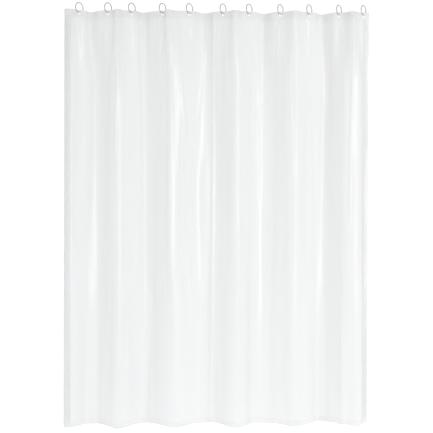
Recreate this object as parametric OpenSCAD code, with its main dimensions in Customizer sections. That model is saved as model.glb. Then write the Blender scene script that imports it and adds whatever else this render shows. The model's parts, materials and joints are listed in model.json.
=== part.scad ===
// Shower curtain: one wavy plastic sheet with welded hems, hung by eyelets from open plastic rings.
// The origin is on the curtain rod's axis, over the middle of the row of rings.
// X runs along the rod, -Y is the front, +Z is up.

/* [Sheet] */
// Height of the sheet from its top edge to its bottom edge
sheet_h = 2000; // [1600:10:2200]
// Thickness of the plastic film
film_t = 0.2; // [0.1:0.05:1]
// Depth of a fold, from the line through the eyelets to its crest
fold_depth = 42.5; // [30:0.5:48]
// Angle of the sheet to the rod where an eyelet sits in it
eyelet_angle = 10; // [5:1:15]

/* [Hems] */
// Height of the doubled band along the top edge
top_hem_h = 36; // [30:1:60]
// Height of the doubled band along the bottom edge
bottom_hem_h = 24; // [15:1:60]

/* [Eyelets] */
// Clear hole of an eyelet
eyelet_hole_d = 14; // [13.5:0.5:16]
// Outer diameter of an eyelet's flange
eyelet_d = 20; // [19:0.5:24]
// Distance from the sheet's top edge down to an eyelet's centre
eyelet_drop = 16; // [16:1:20]

/* [Rings] */
// Thickness of a ring's round bar
ring_bar_d = 4.5; // [4:0.1:5]
// Outer diameter of a ring
ring_d = 52; // [50:1:60]
// Opening in a ring, between its two round tips
ring_opening = 6; // [3:0.5:7]
// Place of that opening, below the middle of the ring's rear side
opening_angle = 40; // [0:5:60]
// Turn of a ring away from square across the rod
ring_turn = 40; // [20:1:42]

/* [Rod] */
// Diameter of the rod that the rings are made for
rod_d = 25; // [20:1:25]

/* [Hidden] */

// Gaps between neighbouring rings along the rod, from the left
ring_gaps = [138, 114, 148, 130, 162, 127, 151, 141, 145, 120];
gap_count = len(ring_gaps);
row_w = sum_to(gap_count);

// Rings: ring_r is to the middle of the bar, and each end of the bar is a short straight with a round tip
ring_r = (ring_d - ring_bar_d) / 2;
ring_clear = 0.45;
ring_z = rod_d / 2 + ring_clear + ring_bar_d / 2 - ring_r;
end_l = 1.5;
end_angle = asin((ring_opening + ring_bar_d) / 2 / norm([ring_r, end_l])) + atan2(end_l, ring_r);

// Eyelets: the bar lies a little above the middle of the hole, and the sheet hangs on it
bar_rise = 3.2;
flange_t = 0.6;
barrel_t = 1;
edge_bevel = 0.3;
eyelet_z = ring_z - ring_r - bar_rise;
barrel_d = eyelet_hole_d + 2 * barrel_t;

// Layers of film, counted from the sheet's middle towards the back, with the eyelets clear of them
clearance = 0.3;
hem_back = film_t * 3 / 2;
punched_d = barrel_d + 2 * clearance;

// Heights of the sheet
top_z = eyelet_z + eyelet_drop;
bottom_z = top_z - sheet_h;

// Folds: a flat at each eyelet, then a root arc, a straight flank and a crest arc
flat_half = 12;
root_share = 0.145;
crest_share = 0.26;
root_steps = 4;
crest_steps = 8;

// The sheet's two ends, past the first and the last eyelet
left_crest_x = 45;
left_depth = 32;
left_root_r = 12;
left_crest_r = 16;
left_curl = 40;
left_tail = 16.6;
right_root_r = 14;
right_angle = 42;
right_tail = 7.8;

round_fn = 48;
film_color = [0.93, 0.94, 0.95];
hem_color = [0.87, 0.89, 0.9];
eyelet_color = [0.97, 0.97, 0.96];
ring_color = [0.8, 0.82, 0.83];

// Sum of the first n gaps
function sum_to(n) = n == 0 ? 0 : ring_gaps[n - 1] + sum_to(n - 1);

// Place of ring i along the rod, counted from 0
function ring_x(i) = sum_to(i) - row_w / 2;

// Ring 0 has a fold going back on its right, ring 1 a fold coming forward, and so on
function side(i) = i % 2 == 0 ? 1 : -1;

// A half fold: [flank angle, flank length] for half its gap, its depth, its root and crest radii
function across(half, root_r) = half - flat_half * cos(eyelet_angle) + root_r * sin(eyelet_angle);
function inward(depth, root_r, crest_r) =
    depth - flat_half * sin(eyelet_angle) - root_r * cos(eyelet_angle) - crest_r;
function flank(half, depth, root_r, crest_r) =
    let (x = across(half, root_r))
    let (y = inward(depth, root_r, crest_r))
    let (r = root_r + crest_r)
    let (length = sqrt(x * x + y * y - r * r))
    [atan2(y, x) + atan2(r, length), length];

// A path is walked in moves of [length, turn]; an arc is several short ones
function arc(r, turn, steps) = [for (i = [1 : steps]) [2 * r * sin(abs(turn) / steps / 2), turn / steps]];
function straight(length) = [[length, 0]];

// The moves of fold i, from the flat at ring i to the flat at ring i + 1
function fold(i) =
    let (gap = ring_gaps[i])
    let (root_r = gap * root_share)
    let (crest_r = gap * crest_share)
    let (f = flank(gap / 2, fold_depth, root_r, crest_r))
    let (bend = side(i) * (f[0] - eyelet_angle))
    concat(
        arc(root_r, bend, root_steps),
        straight(f[1]),
        arc(crest_r, -2 * side(i) * f[0], crest_steps),
        straight(f[1]),
        arc(root_r, bend, root_steps)
    );

// The moves from the left edge to the flat at the first ring, and from the last flat to the right edge
left_flank = flank(left_crest_x, left_depth, left_root_r, left_crest_r);
left_end = concat(
    straight(left_tail),
    arc(left_crest_r, left_curl + left_flank[0], crest_steps),
    straight(left_flank[1]),
    arc(left_root_r, eyelet_angle - left_flank[0], root_steps)
);
right_end = concat(
    arc(right_root_r, right_angle - eyelet_angle, root_steps),
    straight(right_tail)
);

// Walk the moves from a station [x, y, heading], giving the stations on the way
function step(s, m) =
    let (heading = s[2] + m[1] / 2)
    [s[0] + m[0] * cos(heading), s[1] + m[0] * sin(heading), s[2] + m[1]];
function walk(start, moves) =
    [for (i = 0, s = start; i <= len(moves); s = i < len(moves) ? step(s, moves[i]) : s, i = i + 1) s];
function last(list) = list[len(list) - 1];

// The whole sheet seen from above, placed so that the first flat is centred on the first ring
flat = straight(2 * flat_half);
moves = concat(
    left_end,
    [for (i = [0 : gap_count - 1]) each concat(flat, fold(i))],
    straight(flat_half),
    straight(flat_half),
    right_end
);
left_reach = last(walk([0, 0, -left_curl], left_end));
left_edge = [
    ring_x(0) - flat_half * cos(eyelet_angle) - left_reach[0],
    -flat_half * sin(eyelet_angle) - left_reach[1],
    -left_curl
];
stations = walk(left_edge, moves);
station_count = len(stations);

// The stations that the side hems reach to: part of the left crest, and the middle of the last flat
left_hem_end = 6;
right_hem_start = station_count - 1 - len(right_end) - 1;

// A layer of film between two distances behind the sheet's middle, from one station to another
function behind(s, d) = [s[0] - d * sin(s[2]), s[1] + d * cos(s[2])];
module layer(front, back, first, final) {
    polygon(concat(
        [for (i = [first : final]) behind(stations[i], front)],
        [for (i = [final : -1 : first]) behind(stations[i], back)]
    ));
}

module standing(low, high) {
    translate([0, 0, low])
        linear_extrude(height = high - low)
            children();
}

// Turned into place at ring i's eyelet, with the hole's axis along Y
module at_eyelet(i) {
    translate([ring_x(i), 0, eyelet_z])
        rotate([0, 0, side(i) * eyelet_angle])
            rotate([-90, 0, 0])
                children();
}

module punched_holes() {
    for (i = [0 : gap_count])
        at_eyelet(i)
            cylinder(d = punched_d, h = eyelet_hole_d, center = true, $fn = round_fn);
}

module curtain_sheet() {
    color(film_color)
        difference() {
            standing(bottom_z, top_z)
                layer(-film_t / 2, film_t / 2, 0, station_count - 1);
            punched_holes();
        }
}

module top_hem() {
    color(hem_color)
        difference() {
            standing(top_z - top_hem_h, top_z)
                layer(film_t / 2, hem_back, 0, station_count - 1);
            punched_holes();
        }
}

module bottom_hem() {
    color(hem_color)
        standing(bottom_z, bottom_z + bottom_hem_h)
            layer(film_t / 2, hem_back, 0, station_count - 1);
}

module side_hem(first, final) {
    color(hem_color)
        standing(bottom_z + bottom_hem_h, top_z - top_hem_h)
            layer(film_t / 2, hem_back, first, final);
}

module left_hem() {
    side_hem(0, left_hem_end);
}

module right_hem() {
    side_hem(right_hem_start, station_count - 1);
}

// An eyelet is a short tube with a flange on each side of the film
module eyelet(i) {
    front = -film_t / 2 - clearance - flange_t;
    back = hem_back + clearance + flange_t;
    rim = eyelet_d / 2;
    hole = eyelet_hole_d / 2;
    tube = barrel_d / 2;
    color(eyelet_color)
        at_eyelet(i)
            rotate_extrude($fn = round_fn)
                polygon([
                    [hole, front],
                    [rim - edge_bevel, front],
                    [rim, front + edge_bevel],
                    [rim, front + flange_t],
                    [tube, front + flange_t],
                    [tube, back - flange_t],
                    [rim, back - flange_t],
                    [rim, back - edge_bevel],
                    [rim - edge_bevel, back],
                    [hole, back]
                ]);
}

// The end of the bar on one side of the opening: 1 above it, -1 below it
module bar_end(sense) {
    rotate([0, 0, sense * end_angle])
        translate([ring_r, 0, 0])
            rotate([sense * 90, 0, 0]) {
                cylinder(d = ring_bar_d, h = end_l, $fn = round_fn);
                translate([0, 0, end_l])
                    sphere(d = ring_bar_d, $fn = round_fn);
            }
}

module ring(i) {
    color(ring_color)
        translate([ring_x(i), 0, ring_z])
            rotate([0, 0, 90 - ring_turn])
                rotate([90, 0, 0])
                    rotate([0, 0, -opening_angle]) {
                        rotate([0, 0, end_angle])
                            rotate_extrude(angle = 360 - 2 * end_angle, $fn = round_fn)
                                translate([ring_r, 0])
                                    circle(d = ring_bar_d, $fn = round_fn);
                        bar_end(1);
                        bar_end(-1);
                    }
}

curtain_sheet();
top_hem();
bottom_hem();
left_hem();
right_hem();
eyelet(0);  // eyelet_01
eyelet(1);  // eyelet_02
eyelet(2);  // eyelet_03
eyelet(3);  // eyelet_04
eyelet(4);  // eyelet_05
eyelet(5);  // eyelet_06
eyelet(6);  // eyelet_07
eyelet(7);  // eyelet_08
eyelet(8);  // eyelet_09
eyelet(9);  // eyelet_10
eyelet(10);  // eyelet_11
ring(0);  // ring_01
ring(1);  // ring_02
ring(2);  // ring_03
ring(3);  // ring_04
ring(4);  // ring_05
ring(5);  // ring_06
ring(6);  // ring_07
ring(7);  // ring_08
ring(8);  // ring_09
ring(9);  // ring_10
ring(10);  // ring_11
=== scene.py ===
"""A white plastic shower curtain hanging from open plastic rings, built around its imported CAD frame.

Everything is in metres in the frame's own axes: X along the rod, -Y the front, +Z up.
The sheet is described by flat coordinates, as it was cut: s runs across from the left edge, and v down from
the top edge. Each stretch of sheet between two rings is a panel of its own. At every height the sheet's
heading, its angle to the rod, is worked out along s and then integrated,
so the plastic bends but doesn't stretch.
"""

import json
import math

import bpy
import numpy as np
from mathutils import Matrix, Vector

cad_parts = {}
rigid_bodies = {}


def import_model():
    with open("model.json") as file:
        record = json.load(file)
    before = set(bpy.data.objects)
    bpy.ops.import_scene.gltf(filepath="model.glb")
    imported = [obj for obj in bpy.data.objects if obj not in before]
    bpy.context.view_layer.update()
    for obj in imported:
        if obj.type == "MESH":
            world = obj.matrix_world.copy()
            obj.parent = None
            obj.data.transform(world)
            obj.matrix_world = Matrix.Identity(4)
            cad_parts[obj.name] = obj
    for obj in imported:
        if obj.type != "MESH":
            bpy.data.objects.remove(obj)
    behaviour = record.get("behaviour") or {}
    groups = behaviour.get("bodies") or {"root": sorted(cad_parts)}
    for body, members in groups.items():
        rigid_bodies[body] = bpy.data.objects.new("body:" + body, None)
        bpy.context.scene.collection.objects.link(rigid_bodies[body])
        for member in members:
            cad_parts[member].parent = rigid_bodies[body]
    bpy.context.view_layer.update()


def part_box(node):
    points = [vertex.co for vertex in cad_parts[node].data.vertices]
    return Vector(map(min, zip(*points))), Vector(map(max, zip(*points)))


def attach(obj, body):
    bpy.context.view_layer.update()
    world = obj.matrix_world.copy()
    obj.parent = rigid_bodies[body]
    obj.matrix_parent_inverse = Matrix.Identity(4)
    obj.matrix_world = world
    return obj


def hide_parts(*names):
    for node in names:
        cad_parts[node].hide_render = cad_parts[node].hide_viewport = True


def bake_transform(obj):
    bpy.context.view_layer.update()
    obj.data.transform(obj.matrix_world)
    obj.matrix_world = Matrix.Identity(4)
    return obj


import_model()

# ---------------------------------------------------------------- places taken from the frame

RINGS = 11
NUMBERS = [f"{k + 1:02d}" for k in range(RINGS)]


def middle(node):
    low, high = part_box(node)
    return (low + high) / 2


ring_x = np.array([middle(f"eyelet_{n}").x for n in NUMBERS])
sheet_low, sheet_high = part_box("curtain_sheet")
top_z = sheet_high.z
sheet_h = sheet_high.z - sheet_low.z
eyelet_v = top_z - middle("eyelet_01").z
top_hem_h = top_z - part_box("top_hem")[0].z
bottom_hem_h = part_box("bottom_hem")[1].z - sheet_low.z
left_reach = ring_x[0] - sheet_low.x

# ---------------------------------------------------------------- camera

CAMERA_DISTANCE = 3.95
CAMERA_TURN = math.radians(1.96)
CAMERA_ROLL = math.radians(0.12)
VIEW_SIDE = 2.094  # what the square picture takes in, at the curtain
AIM = Vector((-0.026, 0.0, -1.0125))
CAMERA_RISE = 0.13  # of the camera over the point that it looks at


def add_camera():
    """The camera looks level, so that the sheet's edges stay upright, and is shifted a little to frame it."""
    data = bpy.data.cameras.new("Camera")
    camera = bpy.data.objects.new("Camera", data)
    bpy.context.scene.collection.objects.link(camera)
    forward = Vector((math.sin(CAMERA_TURN), math.cos(CAMERA_TURN), 0))
    camera.location = AIM - forward * CAMERA_DISTANCE + Vector((0, 0, CAMERA_RISE))
    look = forward.to_track_quat("-Z", "Y").to_matrix()
    camera.rotation_euler = (look @ Matrix.Rotation(CAMERA_ROLL, 3, "Z")).to_euler()
    data.sensor_width = 36
    data.lens = data.sensor_width * CAMERA_DISTANCE / VIEW_SIDE
    data.shift_y = -CAMERA_RISE / VIEW_SIDE
    data.dof.use_dof = False
    bpy.context.scene.camera = camera


add_camera()

# ---------------------------------------------------------------- the hung sheet: its folds

SHEET_W = 1.80  # as cut
LEFT_END_W = 0.078  # of sheet past the first ring
RIGHT_END_W = 0.0275  # of sheet past the last ring, which is all hem
LEFT_HEM_W = 0.033
FOLD_COLUMNS = 38  # of mesh in a fold
FINE = 4  # steps of the integration to a column
HEAD_ANGLE = math.radians(10)  # of the sheet to the rod, where an eyelet holds it
TURN = 0.001  # height of the film's turn at an edge, from the sheet to its hem
SAG = 0.0018  # of the sheet between two rings
WANDER = 0.005  # of each ring's line of sheet, to the front or the back of the rod's line
EDGE_ANGLE = -0.45  # of the left edge to the rod, in radians
LEFT_CREST = 0.66  # place of the left end's steepest stretch, as a share of its width
RIGHT_TURN = 0.5  # share of the right end's width over which it levels out
STAGES = (0.06, 0.85, 1.98)  # heights v of the top, the middle and the bottom of the tables below
DEEPENING = (0.02, 0.36)  # heights v between which the folds reach their full depth
UPPER = 0.4  # height v down to which the mesh's rows lie closer together

# Where each fold's crest lies between its two rings: at the top, the middle and the bottom
CREST = [
    (0.38, 0.40, 0.31),
    (0.42, 0.50, 0.44),
    (0.36, 0.44, 0.64),
    (0.27, 0.30, 0.60),
    (0.45, 0.50, 0.36),
    (0.46, 0.44, 0.60),
    (0.50, 0.52, 0.37),
    (0.48, 0.54, 0.41),
    (0.45, 0.42, 0.40),
    (0.50, 0.42, 0.38),
]
# How steeply the sheet crosses each ring's line, against an even wave: at the middle and the bottom
STEEPNESS = [
    (0.80, 0.90),
    (1.05, 0.80),
    (0.75, 0.95),
    (0.70, 0.85),
    (0.90, 0.95),
    (0.80, 1.00),
    (1.10, 1.20),
    (0.85, 0.80),
    (0.75, 0.85),
    (0.90, 0.80),
    (1.25, 1.35),
]
# How far the film at each ring's line has crept along the sheet, so that some folds are fuller than others
CREEP = [
    (0.000, 0.000),
    (0.004, -0.003),
    (-0.002, 0.001),
    (0.006, 0.008),
    (0.003, -0.002),
    (-0.005, 0.002),
    (0.004, 0.010),
    (0.002, 0.000),
    (-0.006, -0.012),
    (0.003, -0.004),
    (0.000, 0.000),
]

gaps = np.diff(ring_x)
take_up = (SHEET_W - LEFT_END_W - RIGHT_END_W - gaps.sum()) / (1 / gaps).sum()
fold_w = gaps + take_up / gaps
seam_s = LEFT_END_W + np.concatenate([[0], np.cumsum(fold_w)])


def smooth(a, b, x):
    t = np.clip((x - a) / (b - a), 0, 1)
    return t * t * (3 - 2 * t)


def staged(top, mid, foot):
    """A value for every row, from its values at the three stages of height."""
    upper = top + (mid - top) * smooth(STAGES[0], STAGES[1], rows)
    return upper + (foot - mid) * smooth(STAGES[1], STAGES[2], rows)


def make_rows():
    """Heights of the mesh's rows: close together at the hems, where the eyelets and welds are."""
    head = [*np.linspace(0, eyelet_v, 5)[1:], *np.linspace(eyelet_v, top_hem_h, 6)[1:]]
    upper = np.linspace(top_hem_h, UPPER, 50)[1:]
    lower = np.linspace(UPPER, sheet_h - bottom_hem_h, 150)[1:]
    foot = np.linspace(sheet_h - bottom_hem_h, sheet_h, 6)[1:-1]
    return np.concatenate([[0, TURN], head, upper, lower, foot, [sheet_h - TURN, sheet_h]])


def fine_places(stops, columns):
    """Places from stop to stop, each stretch divided evenly into its own number of columns."""
    parts = [np.linspace(a, b, n * FINE + 1)[1:] for a, b, n in zip(stops[:-1], stops[1:], columns)]
    return np.concatenate([[stops[0]], *parts])


rows = make_rows()
stops = [0, TURN, LEFT_HEM_W, *seam_s, SHEET_W - TURN, SHEET_W]
even_s = fine_places(stops, [1, 8, 10, *[FOLD_COLUMNS] * (RINGS - 1), 6, 1])
seam_at = [int(np.argmin(abs(even_s - s))) for s in seam_s]
seam_row_s = seam_s[:, None] + np.array([staged(0, mid, foot) for mid, foot in CREEP])
flat_s = np.array([np.interp(even_s, [0, *seam_s, SHEET_W], [0, *line, SHEET_W]) for line in seam_row_s.T])
step_s = np.diff(flat_s, axis=1)

# ---------------------------------------------------------------- the hung sheet: its surface


def even_wave(shortening):
    """The steepest heading of an even wave that brings its length down to this share."""
    phase = (np.arange(200) + 0.5) * np.pi / 200
    angles = np.linspace(0.05, 1.6, 400)
    shares = np.cos(angles[:, None] * np.cos(phase)[None, :]).mean(1)
    return np.interp(-shortening, -shares, angles)


def seam_headings():
    """How steep the sheet is at each ring's line, for every row."""
    lengths = np.diff(seam_row_s, axis=0)
    wave = even_wave(gaps[:, None] / lengths)
    wave = np.concatenate([wave[:1], (wave[1:] + wave[:-1]) / 2, wave[-1:]])
    share = np.array([staged(mid, mid, foot) for mid, foot in STEEPNESS])
    return HEAD_ANGLE + (wave * share - HEAD_ANGLE) * smooth(*DEEPENING, rows)


def seam_wander():
    """How far behind the rod's line each ring's line of sheet hangs, for every row."""
    random = np.random.default_rng(4)
    return np.array([staged(0, mid, foot) for mid, foot in random.uniform(-WANDER, WANDER, (RINGS, 2))])


class Fold:
    """The sheet between two rings. It leaves one ring's line, comes round a crest and reaches the next."""

    FIRST_GUESS = 0.4  # of how much deeper the flanks are
    LONGEST_MOVE = 0.3  # of the two values in one round

    def __init__(self, k, steep, wander, slope):
        columns = slice(seam_at[k], seam_at[k + 1])
        self.slope = slope[:, columns]
        self.share = step_s[:, columns] / step_s[:, columns].sum(1)[:, None]
        t = np.cumsum(self.share, axis=1) - self.share / 2
        crest = staged(*CREST[k])[:, None]
        warp = crest / (1 - crest)
        tau = t / (t + warp * (1 - t))
        hold = steep[k][:, None] + (steep[k + 1] - steep[k])[:, None] * smooth(0, 1, tau)
        self.way = 1 if k % 2 == 0 else -1
        self.base = hold * np.cos(np.pi * tau)
        self.flank = np.sin(2 * np.pi * tau) * (1 - np.cos(2 * np.pi * tau)) / 1.3
        self.lean = np.sin(np.pi * tau) ** 2
        length = step_s[:, columns].sum(1)
        self.across = gaps[k] / length
        self.depth = (wander[k + 1] - wander[k]) / length

    def heading(self, a, b):
        """a deepens the fold's two flanks, and b leans both of them the same way."""
        return self.way * (self.base + a[:, None] * self.flank + b[:, None] * self.lean) + self.slope

    def miss(self, a, b):
        heading = self.heading(a, b)
        x = (np.cos(heading) * self.share).sum(1) - self.across
        y = (np.sin(heading) * self.share).sum(1) - self.depth
        return x, y

    def solved(self):
        """The heading at which the fold takes up its whole length of film between its two rings.

        Each round follows the slope of the miss. A row that gets no nearer stays, and tries a shorter move.
        """
        best = np.array([np.full(len(rows), self.FIRST_GUESS), np.zeros(len(rows))])
        left, most, step = np.hypot(*self.miss(*best)), np.full(len(rows), self.LONGEST_MOVE), 1e-4
        for _ in range(40):
            a, b = best
            x, y = self.miss(a, b)
            xa, ya = (after - now for after, now in zip(self.miss(a + step, b), (x, y)))
            xb, yb = (after - now for after, now in zip(self.miss(a, b + step), (x, y)))
            scale = step / (xa * yb - xb * ya)
            move = np.array([x * yb - y * xb, y * xa - x * ya]) * scale
            tried = best - move * np.minimum(1, most / np.maximum(np.hypot(*move), 1e-9))
            missed = np.hypot(*self.miss(*tried))
            nearer = missed < left
            best = np.where(nearer, tried, best)
            left = np.where(nearer, missed, left)
            most = np.where(nearer, np.minimum(most * 2, self.LONGEST_MOVE), most / 3)
        return self.heading(*best)


def left_end_heading(steep, slope):
    """The left end comes round a crest of its own to the first ring."""
    s = even_s[: seam_at[0] + 1]
    t = (s[1:] + s[:-1])[None, :] / (2 * LEFT_END_W)
    share = np.diff(s)[None, :] / LEFT_END_W
    low, high = np.full(len(rows), 0.1), np.full(len(rows), 1.4)
    for _ in range(30):
        flank = (low + high) / 2
        rise = EDGE_ANGLE + (flank[:, None] - EDGE_ANGLE) * smooth(0, LEFT_CREST, t)
        heading = rise + (steep[0] - flank)[:, None] * smooth(LEFT_CREST, 1, t) + slope[:, : seam_at[0]]
        long = (np.cos(heading) * share).sum(1) > left_reach / LEFT_END_W
        low, high = np.where(long, flank, low), np.where(long, high, flank)
    return heading


def right_end_heading(steep, slope):
    """The right end goes on back from the last ring and levels out."""
    s = even_s[seam_at[-1] :]
    t = ((s[1:] + s[:-1])[None, :] / 2 - s[0]) / RIGHT_END_W
    return steep[-1][:, None] * (1 - smooth(0, RIGHT_TURN, t)) + slope[:, seam_at[-1] :]


def running_sum(steps, axis):
    total = np.cumsum(steps, axis=axis)
    return np.concatenate([np.zeros_like(total.take([0], axis)), total], axis=axis)


def make_surface(slope):
    """Position of every fine place of every row. slope is what the relief adds to the heading."""
    steep, wander = seam_headings(), seam_wander()
    folds = [Fold(k, steep, wander, slope).solved() for k in range(RINGS - 1)]
    ends = left_end_heading(steep, slope), right_end_heading(steep, slope)
    heading = np.concatenate([ends[0], *folds, ends[1]], axis=1)
    x = running_sum(np.cos(heading) * step_s, 1)
    y = running_sum(np.sin(heading) * step_s, 1)
    x += ring_x[0] - x[:, seam_at[0], None]
    y += wander[0][:, None] - y[:, seam_at[0], None]
    lean = np.gradient(x, rows, axis=0) ** 2 + np.gradient(y, rows, axis=0) ** 2
    fall = np.sqrt(1 - np.minimum(lean, 0.3))
    z = top_z - running_sum((fall[1:] + fall[:-1]) / 2 * np.diff(rows)[:, None], 0)
    between = np.interp(even_s, seam_s, np.arange(RINGS)) % 1
    z = z - SAG * np.sin(np.pi * between) ** 2
    return np.stack([x, y, z], axis=2)


# ---------------------------------------------------------------- the hung sheet: its relief


class Relief:
    """Ridges and hollows, the highest of them 8 or 9 mm, that lie along the folds over the whole flat sheet."""

    def __init__(self):
        self.height = np.zeros(flat_s.shape)

    def ridge(self, path, width, height, v_start, v_end, fade=0.12):
        """path gives s for each row, and height is towards the back."""
        along = smooth(v_start, v_start + fade, rows) * (1 - smooth(v_end - fade, v_end, rows))
        width = np.broadcast_to(width, rows.shape)
        u = (flat_s - path[:, None]) / width[:, None]
        self.height += (height * along)[:, None] * np.exp(-u * u)


# Creases that stand out: x at the top, the middle and the foot, start and end height v, half width and height
# towards the front, negative for a hollow
CREASES = [
    (-0.660, -0.634, -0.632, -0.10, 2.20, 0.028, 0.0085),
    (-0.575, -0.573, -0.555, 0.90, 2.10, 0.012, -0.0022),
    (-0.498, -0.514, -0.514, 0.00, 0.80, 0.006, 0.0028),
    (-0.476, -0.474, -0.470, 0.00, 0.36, 0.008, -0.0026),
    (-0.426, -0.424, -0.420, 0.03, 0.30, 0.005, 0.0016),
    (-0.408, -0.405, -0.400, 0.00, 0.55, 0.006, 0.0022),
    (-0.367, -0.365, -0.360, 0.00, 0.32, 0.010, -0.0032),
    (-0.310, -0.305, -0.300, 0.00, 0.26, 0.006, 0.0018),
    (-0.281, -0.282, -0.272, 0.08, 1.50, 0.010, 0.0026),
    (-0.264, -0.262, -0.260, 0.00, 0.28, 0.008, -0.0028),
    (-0.300, -0.312, -0.360, 1.35, 2.10, 0.009, -0.0034),
    (-0.238, -0.233, -0.230, 0.50, 1.35, 0.008, -0.0022),
    (-0.218, -0.161, -0.150, 0.04, 1.40, 0.010, 0.0042),
    (-0.200, -0.197, -0.196, 0.60, 1.30, 0.007, -0.0020),
    (-0.121, -0.120, -0.120, 0.00, 0.26, 0.009, -0.0030),
    (-0.080, -0.143, -0.150, 0.03, 0.95, 0.009, 0.0028),
    (-0.092, -0.090, -0.090, 1.40, 2.10, 0.007, 0.0022),
    (-0.043, -0.042, -0.052, 0.04, 2.10, 0.0095, 0.0056),
    (-0.002, -0.003, -0.002, 0.10, 1.30, 0.008, -0.0022),
    (0.085, 0.085, 0.086, 1.05, 2.10, 0.006, 0.0032),
    (0.170, 0.138, 0.130, 0.12, 1.05, 0.009, 0.0026),
    (0.174, 0.192, 0.200, 0.02, 1.00, 0.008, 0.0020),
    (0.203, 0.205, 0.205, 0.00, 0.32, 0.007, -0.0026),
    (0.322, 0.338, 0.340, 0.03, 0.85, 0.006, 0.0022),
    (0.356, 0.358, 0.360, 0.10, 0.75, 0.006, 0.0020),
    (0.424, 0.440, 0.450, 0.00, 0.95, 0.007, 0.0026),
    (0.474, 0.484, 0.500, 0.02, 2.10, 0.024, 0.0075),
    (0.500, 0.512, 0.530, 0.95, 2.10, 0.012, 0.0022),
    (0.525, 0.523, 0.520, 0.00, 0.55, 0.011, -0.0024),
    (0.632, 0.617, 0.605, 0.00, 1.05, 0.007, 0.0056),
    (0.693, 0.694, 0.696, 0.04, 0.80, 0.005, 0.0012),
]


def add_creases(relief):
    plain = make_surface(np.zeros(step_s.shape))
    for *places, v_start, v_end, width, height in CREASES:
        path = np.array([np.interp(x, *at) for x, *at in zip(staged(*places), plain[..., 0], flat_s)])
        relief.ridge(path, width, -height, v_start - 0.1, v_end, 0.14)


def add_fans(relief, random):
    """Tension lines fan out of each eyelet, then turn to hang straight down."""
    below = np.maximum(rows - eyelet_v, 0)
    for k in range(RINGS):
        strong = random.uniform(0.6, 1.4)
        for spread in (-0.046, -0.03, -0.014, 0.013, 0.031, 0.047):
            spread = spread * random.uniform(0.7, 1.25)
            path = seam_s[k] + spread * (1 - np.exp(-below / random.uniform(0.06, 0.18)))
            width = 0.0045 + 0.014 * smooth(0, 0.6, below)
            height = -random.uniform(0.0006, 0.0019) * strong
            relief.ridge(path, width, height, 0.02, random.uniform(0.2, 0.75), 0.1)


def add_soft_folds(relief, random):
    """Wider secondary folds down the whole sheet."""
    for start in np.arange(0.05, SHEET_W, 0.062):
        start = start + random.uniform(-0.018, 0.018)
        lean = random.uniform(-0.035, 0.035)
        bow = random.uniform(-0.012, 0.012)
        path = start + lean * rows / sheet_h + bow * np.sin(np.pi * rows / sheet_h)
        height = random.choice([-1, 1]) * random.uniform(0.0006, 0.0020)
        v_start = random.uniform(0.05, 1.1)
        v_end = v_start + random.uniform(0.7, 1.9)
        relief.ridge(path, random.uniform(0.010, 0.022), height, v_start, v_end, 0.35)


def add_streaks(relief, random):
    """Narrow streaks, where the film has been creased along its folds."""
    for _ in range(120):
        start = random.uniform(0.02, SHEET_W - 0.02)
        v_start = random.uniform(0.03, 1.5)
        path = start + random.uniform(-0.02, 0.02) * rows / sheet_h
        height = random.choice([-1, 1]) * random.uniform(0.0002, 0.0006)
        v_end = v_start + random.uniform(0.3, 1.2)
        relief.ridge(path, random.uniform(0.006, 0.010), height, v_start, v_end, 0.15)


def relief_slope():
    relief = Relief()
    random = np.random.default_rng(11)
    add_creases(relief)
    add_fans(relief, random)
    add_soft_folds(relief, random)
    add_streaks(relief, random)
    for s in seam_s:  # the film lies flat in each eyelet
        distance = np.hypot(flat_s - s, rows[:, None] - eyelet_v)
        relief.height *= smooth(0.013, 0.04, distance)
    return np.diff(relief.height, axis=1) / step_s


surface = make_surface(relief_slope())

# ---------------------------------------------------------------- meshes

HOLE_R = 0.0084  # punched in the film for an eyelet
HOLE_SLACK = 0.0004  # how far inside the hole a face's middle lies, for the face to be taken out
HEM_BEHIND = 0.00035  # from the middle of the sheet to the middle of a hem

grid = surface[:, ::FINE]
grid_s = flat_s[:, ::FINE]
seam_column = [at // FINE for at in seam_at]
last_row, last_column = len(rows) - 1, grid.shape[1] - 1


def unit(vectors):
    return vectors / np.linalg.norm(vectors, axis=2)[:, :, None]


across = unit(np.gradient(surface, axis=1)[:, ::FINE])
normals = unit(np.cross(np.gradient(grid, rows, axis=0), across))  # out of the front side


def punched(s_grid, v_grid):
    """Which faces an eyelet's hole takes out, and where the edge of the hole moves its corners to."""
    shift = np.zeros(s_grid.shape + (2,))
    gone = np.zeros((s_grid.shape[0] - 1, s_grid.shape[1] - 1), bool)
    s_mid = (s_grid[1:, 1:] + s_grid[:-1, :-1]) / 2
    v_mid = (v_grid[1:, 1:] + v_grid[:-1, :-1]) / 2
    for s in seam_s:
        hole = np.hypot(s_mid - s, v_mid - eyelet_v) < HOLE_R - HOLE_SLACK
        if not hole.any():
            continue
        gone |= hole
        corner = np.zeros(s_grid.shape, bool)
        for i, j in ((0, 0), (0, 1), (1, 0), (1, 1)):
            corner[i : i + hole.shape[0], j : j + hole.shape[1]] |= hole
        ds, dv = s_grid - s, v_grid - eyelet_v
        away = np.maximum(np.hypot(ds, dv), 1e-6)
        shift[..., 0] += np.where(corner, ds * (HOLE_R / away - 1), 0)
        shift[..., 1] += np.where(corner, dv * (HOLE_R / away - 1), 0)
    return gone, shift


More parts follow.
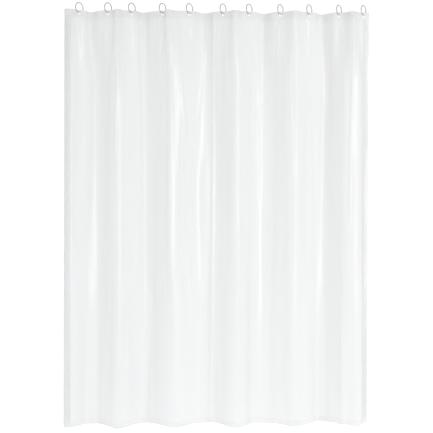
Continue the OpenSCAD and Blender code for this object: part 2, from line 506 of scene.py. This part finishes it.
def film_piece(name, top, foot, left, right, behind=0.0, turned=()):
    """A rectangle of the sheet, by its rows and columns.

    A hem lies behind the sheet, and meets it at the edges where the film is turned.
    """
    block = (slice(top, foot + 1), slice(left, right + 1))
    normal, s_grid = normals[block], grid_s[block]
    v_grid = np.broadcast_to(rows[block[0], None], s_grid.shape)
    gone, shift = punched(s_grid, v_grid)
    points = grid[block] + across[block] * shift[..., :1] - np.array([0, 0, 1]) * shift[..., 1:]
    set_back = np.full(s_grid.shape, behind)
    for edge in turned:
        set_back[edge] = 0
    points -= normal * set_back[..., None]

    height, width = s_grid.shape
    number = np.arange(height * width).reshape(height, width)
    corners = [number[1:, :-1], number[1:, 1:], number[:-1, 1:], number[:-1, :-1]]
    faces = np.stack(corners, axis=2)[~gone]
    used = np.unique(faces)
    renumber = np.full(height * width, -1)
    renumber[used] = np.arange(len(used))
    mesh = bpy.data.meshes.new(name)
    mesh.from_pydata(points.reshape(-1, 3)[used].tolist(), [], renumber[faces].tolist())
    flat = np.stack([s_grid + shift[..., 0], v_grid + shift[..., 1]], axis=2).reshape(-1, 2)[used]
    uv = mesh.uv_layers.new(name="Flat")
    corner_vertex = np.array([loop.vertex_index for loop in mesh.loops])
    uv.data.foreach_set("uv", flat[corner_vertex].astype(np.float32).ravel())
    mesh.shade_smooth()
    mesh.normals_split_custom_set_from_vertices(normal.reshape(-1, 3)[used].tolist())
    piece = bpy.data.objects.new(name, mesh)
    bpy.context.scene.collection.objects.link(piece)
    return piece


def lathe(name, profile, centre, axis, steps=48):
    """A closed ring of (radius, along the axis) points, turned about an axis."""
    turn = Vector(axis).normalized().to_track_quat("Z", "Y")
    mesh = bpy.data.meshes.new(name)
    points = []
    for k in range(steps):
        angle = 2 * math.pi * k / steps
        for r, h in profile:
            points.append(Vector(centre) + turn @ Vector((r * math.cos(angle), r * math.sin(angle), h)))
    count = len(profile)
    faces = []
    for k in range(steps):
        here, beyond = k * count, (k + 1) % steps * count
        for i in range(count):
            after = (i + 1) % count
            faces.append((here + i, here + after, beyond + after, beyond + i))
    mesh.from_pydata(points, [], faces)
    mesh.shade_smooth()
    piece = bpy.data.objects.new(name, mesh)
    bpy.context.scene.collection.objects.link(piece)
    return piece


# ---------------------------------------------------------------- materials


class Nodes:
    """A short way to write a node tree."""

    def __init__(self, owner, output):
        self.owner = owner
        owner.use_nodes = True
        self.tree = owner.node_tree
        self.tree.nodes.clear()
        self.output = self.add(output)

    def add(self, kind, inputs=None, **settings):
        node = self.tree.nodes.new(kind)
        for key, value in settings.items():
            setattr(node, key, value)
        for key, value in (inputs or {}).items():
            if isinstance(value, bpy.types.NodeSocket):
                self.tree.links.new(value, node.inputs[key])
            else:
                node.inputs[key].default_value = value
        return node

    def noise(self, vector, scale, detail=3.0, roughness=0.5, distortion=0.0):
        inputs = {"Vector": vector, "Scale": scale, "Detail": detail, "Roughness": roughness}
        return self.add("ShaderNodeTexNoise", {**inputs, "Distortion": distortion}).outputs["Fac"]

    def remap(self, value, low, high, to_low, to_high):
        inputs = {"Value": value, "From Min": low, "From Max": high, "To Min": to_low, "To Max": to_high}
        return self.add("ShaderNodeMapRange", inputs).outputs["Result"]

    def maths(self, operation, a, b=0.0, c=0.0):
        return self.add("ShaderNodeMath", {0: a, 1: b, 2: c}, operation=operation).outputs[0]

    def blend_colours(self, factor, a, b):
        node = self.add("ShaderNodeMix", {"Factor": factor, "A": (*a, 1), "B": (*b, 1)}, data_type="RGBA")
        node.clamp_factor = False
        return node.outputs["Result"]

    def bump(self, height, distance, normal=None, strength=1.0):
        inputs = {"Height": height, "Distance": distance, "Strength": strength}
        if normal is not None:
            inputs["Normal"] = normal
        return self.add("ShaderNodeBump", inputs).outputs["Normal"]

    def finish(self, shader):
        self.tree.links.new(shader.outputs[0], self.output.inputs["Surface"])
        return self.owner


def new_material(name):
    return Nodes(bpy.data.materials.new(name), "ShaderNodeOutputMaterial")


WELD_IN = 0.002  # from a hem's free edge to the middle of its weld
WELD_HALF_W = 0.0011
WELD_SHADE = 0.9  # how much darker a weld is, against the difference between the film's two shades
DARKER = 0.96  # the film's darker shade, as a share of its tint


def weld_lines(n, flat):
    """1 along the welds of the hems, 0 elsewhere."""
    place = n.add("ShaderNodeSeparateXYZ", {0: flat}).outputs
    lines = [("X", LEFT_HEM_W - WELD_IN), ("X", SHEET_W - RIGHT_END_W + WELD_IN)]
    lines += [("Y", top_hem_h - WELD_IN), ("Y", sheet_h - bottom_hem_h + WELD_IN)]
    total = 0.0
    for axis, at in lines:
        total = n.maths("MAXIMUM", n.maths("COMPARE", place[axis], at, WELD_HALF_W), total)
    return total


def film_material(name, tint, through, clear):
    """Thin white film: glossy, creased along v, and about half of the light goes through it."""
    n = new_material(name)
    flat = n.add("ShaderNodeUVMap", uv_map="Flat").outputs["UV"]
    hanging = n.add("ShaderNodeMapping", {"Vector": flat, "Scale": (1, 0.06, 1)}).outputs["Vector"]
    crumple = n.noise(flat, 18, 3, 0.5, 0.4)
    streaks = n.noise(hanging, 70, 4, 0.6, 0.2)
    normal = n.bump(streaks, 0.0009)
    normal = n.bump(crumple, 0.0005, normal)
    grain = n.noise(flat, 900, 2)
    normal = n.bump(grain, 0.00003, normal)
    rough = n.remap(n.noise(flat, 9, 3), 0.3, 0.7, 0.13, 0.18)
    shade = n.remap(n.noise(hanging, 14, 3), 0.25, 0.75, 0.0, 1.0)
    welds = weld_lines(n, flat)
    normal = n.bump(welds, 0.0002, normal)
    shade = n.maths("SUBTRACT", shade, n.maths("MULTIPLY", welds, WELD_SHADE))
    darker = tuple(c * DARKER for c in tint)
    colour = n.blend_colours(shade, darker, tint)
    gloss = {"Roughness": rough, "IOR": 1.49, "Specular IOR Level": 1.0}
    face = n.add("ShaderNodeBsdfPrincipled", {"Base Color": colour, "Normal": normal, **gloss})
    inner = n.add("ShaderNodeBsdfTranslucent", {"Color": colour, "Normal": normal})
    film = n.add("ShaderNodeMixShader", {"Fac": through, 1: face.outputs[0], 2: inner.outputs[0]})
    pure = n.add("ShaderNodeBsdfTransparent")
    return n.finish(n.add("ShaderNodeMixShader", {"Fac": clear, 1: film.outputs[0], 2: pure.outputs[0]}))


def plastic_material(name, colour, rough, transmission):
    """Moulded plastic: a little uneven in gloss, with a faint flow in the surface."""
    n = new_material(name)
    place = n.add("ShaderNodeTexCoord").outputs["Object"]
    flow = n.noise(place, 160, 3, 0.55)
    normal = n.bump(flow, 0.00012)
    gloss = n.remap(n.noise(place, 300, 2), 0.3, 0.7, rough - 0.03, rough + 0.04)
    tint = n.blend_colours(flow, tuple(c * 0.95 for c in colour), colour)
    inputs = {"Base Color": tint, "Roughness": gloss, "Normal": normal, "IOR": 1.47}
    inputs["Transmission Weight"] = transmission
    return n.finish(n.add("ShaderNodeBsdfPrincipled", inputs))


film = film_material("film", (0.93, 0.935, 0.94), 0.55, 0.06)
hem_film = film_material("hem_film", (0.93, 0.935, 0.94), 0.55, 0.6)
# The side hems' film is tinted darker than the sheet: painted shade of the sheet's side edges, where they turn
# away from the light.
side_hem_shaded_film = film_material("side_hem_shaded_film", (0.88, 0.885, 0.89), 0.55, 0.1)
eyelet_plastic = plastic_material("eyelet_plastic", (0.86, 0.86, 0.86), 0.3, 0.0)
ring_plastic = plastic_material("ring_plastic", (0.58, 0.59, 0.60), 0.14, 0.4)

# ---------------------------------------------------------------- the pieces


def hold(piece, material, slot_name, nodes):
    piece.data.materials.append(material)
    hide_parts(*nodes)
    return piece


def body_at(k):
    """The body that holds ring k's eyelet."""
    return "curtain" if k == 0 else f"hanger_{NUMBERS[k]}"


top_hem_foot = int(np.argmin(abs(rows - top_hem_h)))
bottom_hem_top = int(np.argmin(abs(rows - (sheet_h - bottom_hem_h))))
left_hem_end = int(np.argmin(abs(grid_s[0] - LEFT_HEM_W)))


def panel_spans():
    """Name, columns and bodies of each panel across the sheet."""
    yield "left_end", 0, seam_column[0], body_at(0), None
    for k in range(RINGS - 1):
        yield f"fold_{k + 1:02d}", seam_column[k], seam_column[k + 1], body_at(k), body_at(k + 1)
    yield "right_end", seam_column[-1], last_column, body_at(RINGS - 1), None


def mount(piece, body, next_body):
    if next_body is None:
        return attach(piece, body)
    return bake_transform(piece)


def make_curtain():
    for name, left, right, body, next_body in panel_spans():
        panel = film_piece(f"film_{name}", 0, last_row, left, right)
        hold(panel, film, "film", ["curtain_sheet"])
        head_at = 0, top_hem_foot, left, right
        foot_at = bottom_hem_top, last_row, left, right
        head = film_piece(f"top_hem_{name}", *head_at, HEM_BEHIND, [np.s_[0, :]])
        hold(head, hem_film, "hem_film", ["top_hem"])
        foot = film_piece(f"bottom_hem_{name}", *foot_at, HEM_BEHIND, [np.s_[-1, :]])
        hold(foot, hem_film, "hem_film", ["bottom_hem"])
        hems = [head, foot]
        if left == 0:
            side_at = top_hem_foot, bottom_hem_top, 0, left_hem_end
            side = film_piece("side_hem_left", *side_at, HEM_BEHIND, [np.s_[:, 0]])
            hems.append(hold(side, side_hem_shaded_film, "hem_film", ["left_hem"]))
        if right == last_column:
            side_at = top_hem_foot, bottom_hem_top, left, right
            side = film_piece("side_hem_right", *side_at, HEM_BEHIND, [np.s_[:, -1]])
            hems.append(hold(side, side_hem_shaded_film, "hem_film", ["right_hem"]))
        for piece in [panel, *hems]:
            mount(piece, body, next_body)


make_curtain()

# Half of a cut through an eyelet, in millimetres: radius, and place along its axis towards the back
EYELET_PROFILE = [
    (7.0, -0.55),
    (7.15, -0.85),
    (7.6, -1.0),
    (8.8, -0.98),
    (9.6, -0.8),
    (10.0, -0.5),
    (9.9, -0.42),
    (8.2, -0.4),
    (8.0, -0.34),
    (8.0, 0.6),
    (8.2, 0.66),
    (9.9, 0.68),
    (10.0, 0.76),
    (9.6, 1.02),
    (8.8, 1.17),
    (7.6, 1.2),
    (7.15, 1.05),
    (7.0, 0.75),
]


def make_eyelets():
    for k, number in enumerate(NUMBERS):
        turn = HEAD_ANGLE if k % 2 == 0 else -HEAD_ANGLE
        profile = [(r / 1000, y / 1000) for r, y in EYELET_PROFILE]
        centre = (ring_x[k], 0, top_z - eyelet_v)
        piece = lathe(f"eyelet_{number}_moulded", profile, centre, (-math.sin(turn), math.cos(turn), 0))
        hold(piece, eyelet_plastic, "eyelet_plastic", [f"eyelet_{number}"])
        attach(piece, body_at(k))


make_eyelets()

for number in NUMBERS:
    node = bpy.data.objects[f"ring_{number}"]
    node.data.materials.clear()
    node.data.materials.append(ring_plastic)

# ---------------------------------------------------------------- light, floor and world

FLOOR_Z = sheet_low.z - 0.12
FLOOR_REACH = 12
FLOOR_WHITE = 0.93
FLOOR_GLOW = 0.47
FLAG_GREY = 0.25
FLAG_PLACE = (-1.1, 1.1), -0.8, (0.10, 0.60)  # x, y and z


def area_light(name, place, aim, size, power):
    data = bpy.data.lights.new(name, "AREA")
    data.shape, data.size, data.size_y = "RECTANGLE", size[0], size[1]
    data.energy = power
    light = bpy.data.objects.new(name, data)
    bpy.context.scene.collection.objects.link(light)
    light.location = place
    light.rotation_euler = (Vector(aim) - Vector(place)).to_track_quat("-Z", "Y").to_euler()
    light.visible_camera = False
    return light


WORLD_SEEN = 1.05
WORLD_FRONT, WORLD_BACK = 0.86, 1.08  # light from straight ahead of the sheet and from straight behind it
WORLD_UP = 0.58  # share of that light that comes from overhead
WORLD_LEFT, WORLD_RIGHT = 0.64, 0.20  # share of it that comes from each side


def make_world():
    """White to the camera. As a light it is brighter behind the sheet, and dimmer overhead and at each side."""
    n = Nodes(bpy.data.worlds.new("World"), "ShaderNodeOutputWorld")
    way = n.add("ShaderNodeSeparateXYZ", {0: n.add("ShaderNodeTexCoord").outputs["Generated"]}).outputs
    strength = n.remap(way["Y"], -1, 1, WORLD_FRONT, WORLD_BACK)
    strength = n.maths("MULTIPLY", strength, n.remap(way["Z"], 0, 1, 1, WORLD_UP))
    side = n.remap(way["X"], -1, 1, WORLD_LEFT, WORLD_RIGHT)
    strength = n.maths("MULTIPLY", strength, n.remap(n.maths("MULTIPLY", way["X"], way["X"]), 0, 1, 1, side))
    light = n.add("ShaderNodeBackground", {"Color": (1, 1, 1, 1), "Strength": strength})
    seen = n.add("ShaderNodeBackground", {"Color": (1, 1, 1, 1), "Strength": WORLD_SEEN})
    camera_ray = n.add("ShaderNodeLightPath").outputs["Is Camera Ray"]
    mix = n.add("ShaderNodeMixShader", {"Fac": camera_ray, 1: light.outputs[0], 2: seen.outputs[0]})
    bpy.context.scene.world = n.finish(mix)


def make_floor():
    n = new_material("floor")
    inputs = {"Base Color": (FLOOR_WHITE, FLOOR_WHITE, FLOOR_WHITE, 1), "Roughness": 0.8}
    inputs["Emission Color"] = (1, 1, 1, 1)
    inputs["Emission Strength"] = FLOOR_GLOW
    material = n.finish(n.add("ShaderNodeBsdfPrincipled", inputs))
    mesh = bpy.data.meshes.new("floor")
    corners = [(-1, -1), (1, -1), (1, 1), (-1, 1)]
    mesh.from_pydata([(x * FLOOR_REACH, y * FLOOR_REACH, FLOOR_Z) for x, y in corners], [], [(0, 1, 2, 3)])
    mesh.materials.append(material)
    floor = bpy.data.objects.new("floor", mesh)
    bpy.context.scene.collection.objects.link(floor)


def make_flag():
    """A grey card over the front of the curtain, so that the film just under the rings gets less light."""
    n = new_material("flag")
    inputs = {"Base Color": (FLAG_GREY, FLAG_GREY, FLAG_GREY, 1), "Roughness": 0.9}
    mesh = bpy.data.meshes.new("flag")
    (x_low, x_high), y, (z_low, z_high) = FLAG_PLACE
    corners = [(x_low, y, z_low), (x_high, y, z_low), (x_high, y, z_high), (x_low, y, z_high)]
    mesh.from_pydata(corners, [], [(0, 1, 2, 3)])
    mesh.materials.append(n.finish(n.add("ShaderNodeBsdfPrincipled", inputs)))
    flag = bpy.data.objects.new("flag", mesh)
    bpy.context.scene.collection.objects.link(flag)
    flag.visible_camera = False


make_world()
make_floor()
make_flag()
area_light("key", (1.3, -4.0, -0.6), (0, 0, -0.9), (1.2, 2.8), 36)
top_light = area_light("top", (2.6, -1.6, 0.3), (0, 0, -0.1), (0.5, 0.5), 14)
top_light.visible_glossy = False
bpy.context.scene.view_settings.view_transform = "Standard"
